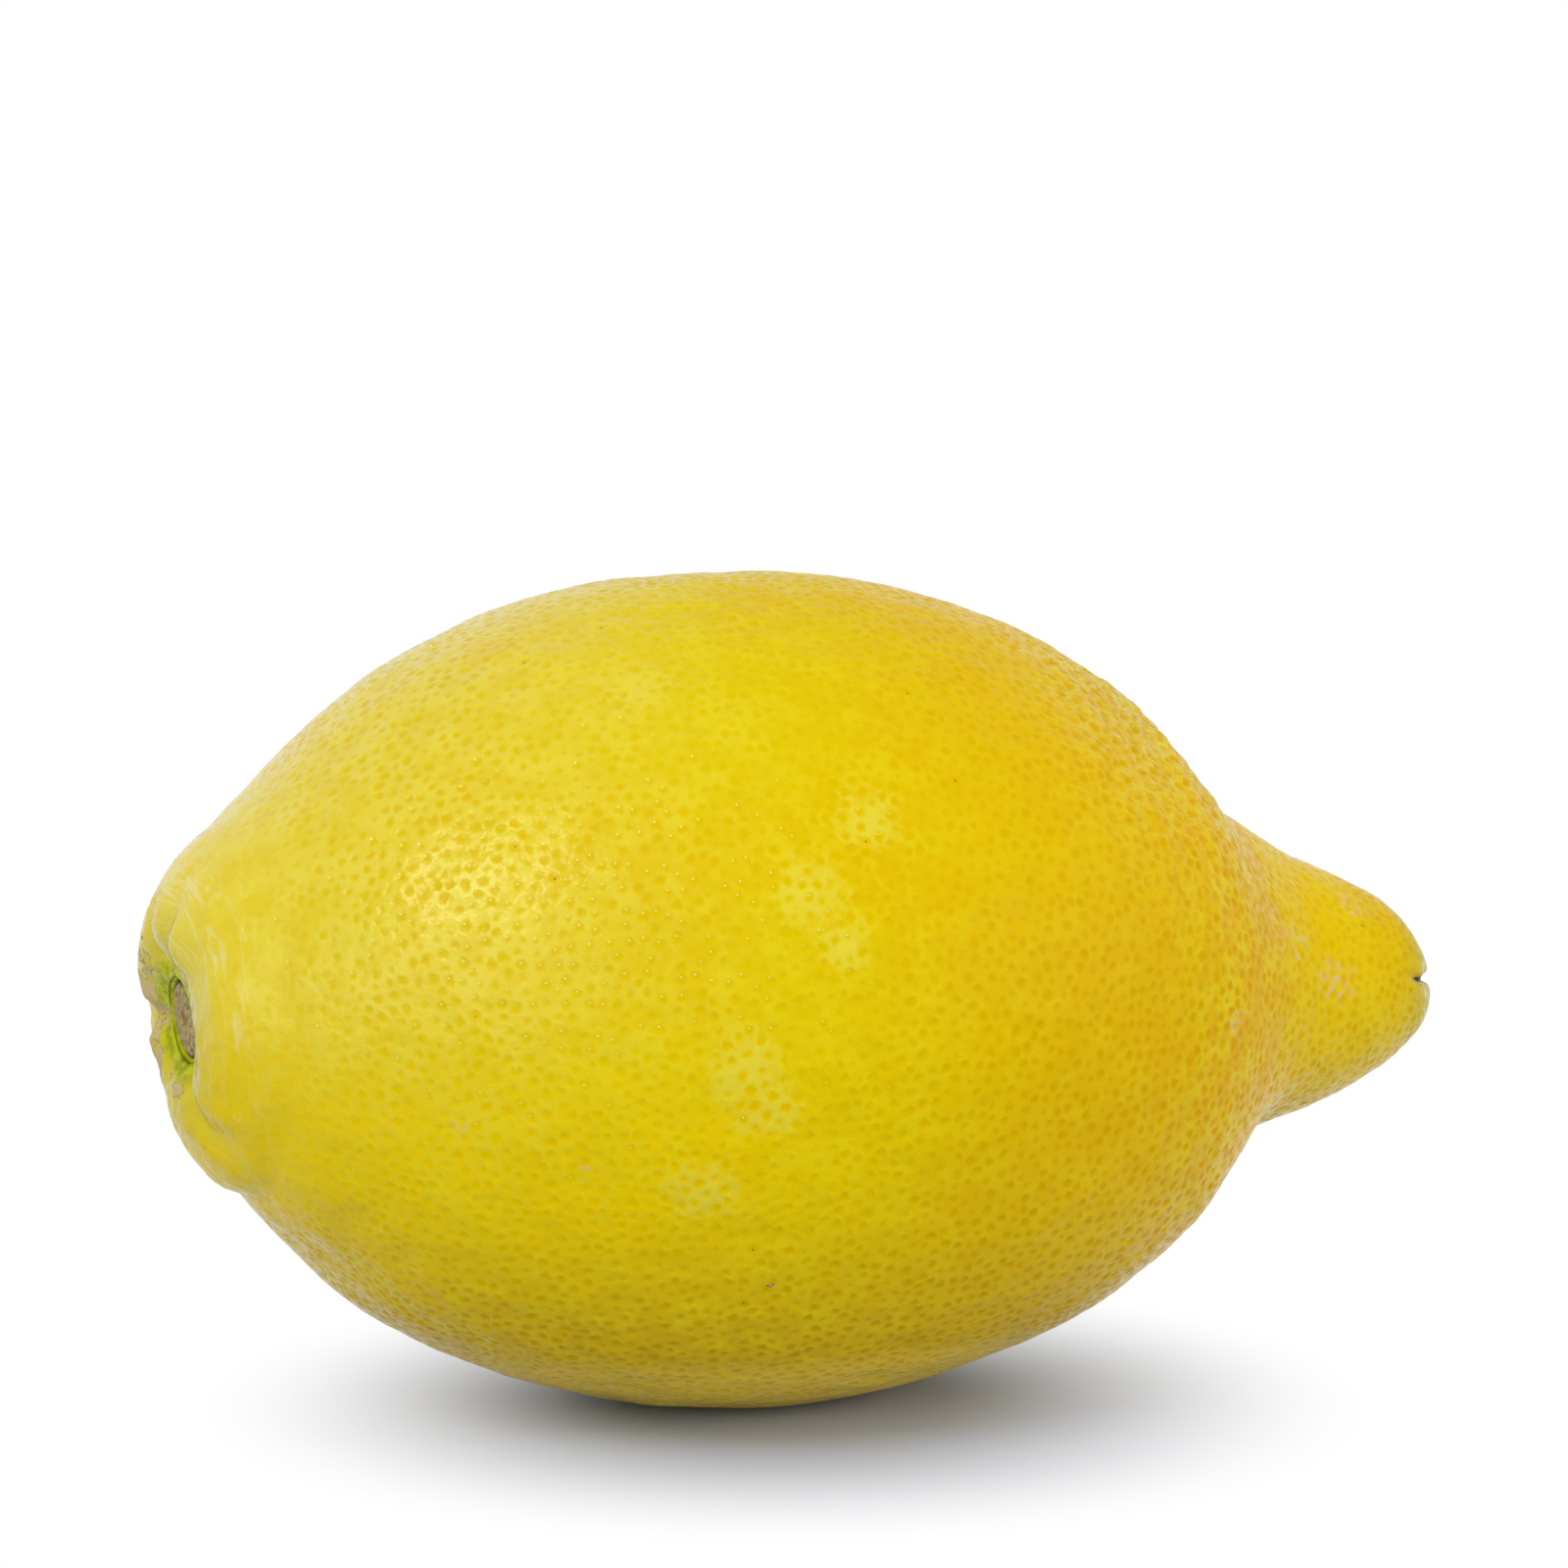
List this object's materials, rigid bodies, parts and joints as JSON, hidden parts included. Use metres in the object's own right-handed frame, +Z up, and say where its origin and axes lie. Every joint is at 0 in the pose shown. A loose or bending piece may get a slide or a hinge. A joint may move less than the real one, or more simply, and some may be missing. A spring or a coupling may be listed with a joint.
{
  "type": "lemon",
  "caption": "Ripe lemon lying on its side, with a puckered collar round the dry stub of its stalk at one end and a blunt nipple at the other.",
  "frame": {"origin": "on the surface that the fruit rests on, under the middle of its box", "axes": "+X along the fruit from the stem end to the tip, +Z up, the fruit lying on its side"},
  "size_m": [0.0964, 0.0598, 0.0593],
  "materials": {
    "rind": "waxy, softly glossy citrus rind with oil glands",
    "dry_stalk": "dry, matt and rough"
  },
  "bodies": {
    "root": {"fruit": "rind", "stem_stub": "dry_stalk"}
  },
  "joints": []
}
